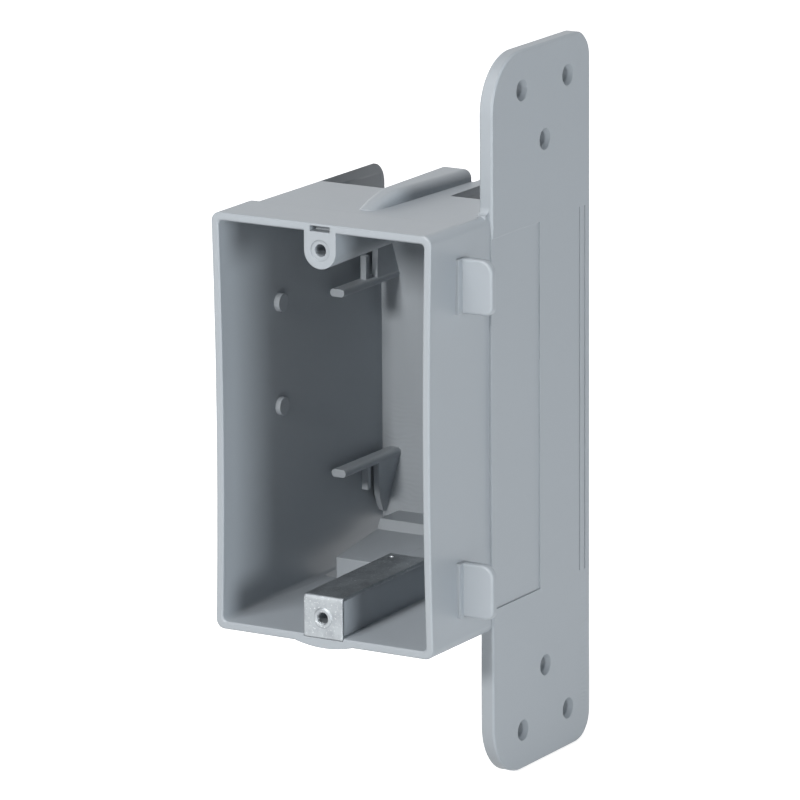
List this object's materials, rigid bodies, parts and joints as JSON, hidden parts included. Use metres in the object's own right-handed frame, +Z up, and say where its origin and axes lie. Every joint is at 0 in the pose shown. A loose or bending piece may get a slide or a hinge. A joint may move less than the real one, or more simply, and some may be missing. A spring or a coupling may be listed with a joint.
{
  "type": "single-gang device box",
  "caption": "Moulded new-work device box with an integral side nailing flange, stud tabs, rear cable entries with clamping fingers and a folded steel grounding strap.",
  "frame": {"origin": "on the plane of the open front rim, midway between the two device screw holes", "axes": "+X towards the stud and the side flange, +Y from the open front into the wall, +Z up"},
  "size_m": [0.0641, 0.0708, 0.1648],
  "materials": {
    "grey_plastic": "satin moulded PVC, blue-grey",
    "zinc_steel": "bright zinc plate on folded strip"
  },
  "bodies": {
    "root": {"box_body": "grey_plastic", "ground_strap": "zinc_steel"}
  },
  "joints": []
}
